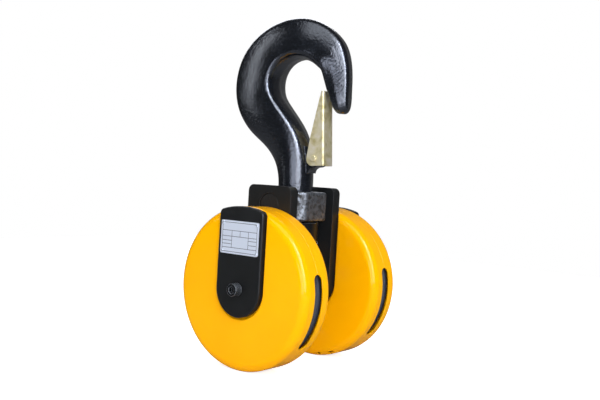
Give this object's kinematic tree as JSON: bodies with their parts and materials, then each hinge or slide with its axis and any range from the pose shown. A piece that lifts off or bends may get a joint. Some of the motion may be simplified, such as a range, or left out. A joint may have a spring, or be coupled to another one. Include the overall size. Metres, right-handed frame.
{
  "type": "crane hook block",
  "caption": "Two-sheave crane hook block: a forged single hook with a sprung latch on a swivelling crosshead, and rope sheaves inside round pressed casings.",
  "frame": {"origin": "centre of the hook's seat circle, on the shank axis, where the load acts", "axes": "+Z from the sheaves towards the hook's crown, +Y along the sheave axle from the rating plate's side to the other, +X towards the hook's mouth"},
  "size_m": [0.2, 0.227, 0.4424],
  "materials": {
    "forged_black": "semi-gloss black paint over the forged skin",
    "plate_black": "satin black paint",
    "casing_yellow": "glossy yellow powder coat",
    "crosshead_forged": "rough forged skin, lightly oiled",
    "zinc_yellow": "yellow passivated zinc",
    "bright_steel": "ground bearing steel",
    "machined_steel": "turned steel, lightly oiled",
    "sheave_iron": "turned cast iron with a greased groove",
    "screw_black": "black oxide",
    "label_aluminium": "satin anodised",
    "spring_steel": "drawn spring wire",
    "cage_brass": "machined brass"
  },
  "bodies": {
    "hook": {"hook_forging": "forged_black", "latch_pin": "zinc_yellow", "hook_nut": "screw_black", "lock_plate": "machined_steel", "lock_plate_screws": "screw_black", "thrust_washer_shaft": "bright_steel"},
    "latch": {"safety_latch": "zinc_yellow", "latch_spring": "spring_steel"},
    "thrust_set": {"thrust_balls": "bright_steel", "thrust_cage": "cage_brass"},
    "crosshead": {"crosshead": "crosshead_forged", "thrust_washer_housing": "bright_steel"},
    "frame": {"axle": "machined_steel", "bearing_spacers": "machined_steel", "centre_spacer": "machined_steel", "axle_screws": "screw_black", "rating_plate": "label_aluminium", "rating_plate_rivets": "label_aluminium", "side_plate_near": "plate_black", "strap_near": "plate_black", "casing_outer_near": "casing_yellow", "casing_inner_near": "casing_yellow", "bearing_inner_rings_near": "bright_steel", "side_plate_far": "plate_black", "strap_far": "plate_black", "casing_outer_far": "casing_yellow", "casing_inner_far": "casing_yellow", "bearing_inner_rings_far": "bright_steel"},
    "sheave_near": {"sheave_near": "sheave_iron", "bearing_outer_rings_near": "bright_steel"},
    "sheave_far": {"sheave_far": "sheave_iron", "bearing_outer_rings_far": "bright_steel"},
    "balls_near": {"bearing_balls_near": "bright_steel"},
    "balls_far": {"bearing_balls_far": "bright_steel"}
  },
  "joints": [
    {"name": "hook_swivel", "type": "hinge", "parent": "hook", "child": "crosshead", "pos_m": [0, 0, -0.1562], "axis": [0, 0, 1], "continuous": true},
    {"name": "thrust_set_orbit", "type": "hinge", "parent": "hook", "child": "thrust_set", "pos_m": [0, 0, -0.1562], "axis": [0, 0, 1], "continuous": true},
    {"name": "latch_hinge", "type": "hinge", "parent": "hook", "child": "latch", "pos_m": [0.02905, 0.00512, -0.0952], "axis": [0.1736, -0.9848, 0], "range_deg": [0, 24], "stiffness_Nm_per_rad": 0.06, "springref_deg": -28.65},
    {"name": "block_tilt", "type": "hinge", "parent": "crosshead", "child": "frame", "pos_m": [0, 0, -0.1562], "axis": [0, 1, 0], "range_deg": [-75, 75]},
    {"name": "sheave_spin_near", "type": "hinge", "parent": "frame", "child": "sheave_near", "pos_m": [0, -0.074, -0.2581], "axis": [0, 1, 0], "continuous": true},
    {"name": "ball_orbit_near", "type": "hinge", "parent": "frame", "child": "balls_near", "pos_m": [0, -0.074, -0.2581], "axis": [0, 1, 0], "continuous": true},
    {"name": "sheave_spin_far", "type": "hinge", "parent": "frame", "child": "sheave_far", "pos_m": [0, 0.074, -0.2581], "axis": [0, 1, 0], "continuous": true},
    {"name": "ball_orbit_far", "type": "hinge", "parent": "frame", "child": "balls_far", "pos_m": [0, 0.074, -0.2581], "axis": [0, 1, 0], "continuous": true}
  ],
  "couplings": [
    {"joint": "thrust_set_orbit", "follows": "hook_swivel", "ratio": 0.5},
    {"joint": "ball_orbit_near", "follows": "sheave_spin_near", "ratio": 0.6037},
    {"joint": "ball_orbit_far", "follows": "sheave_spin_far", "ratio": 0.6037}
  ]
}
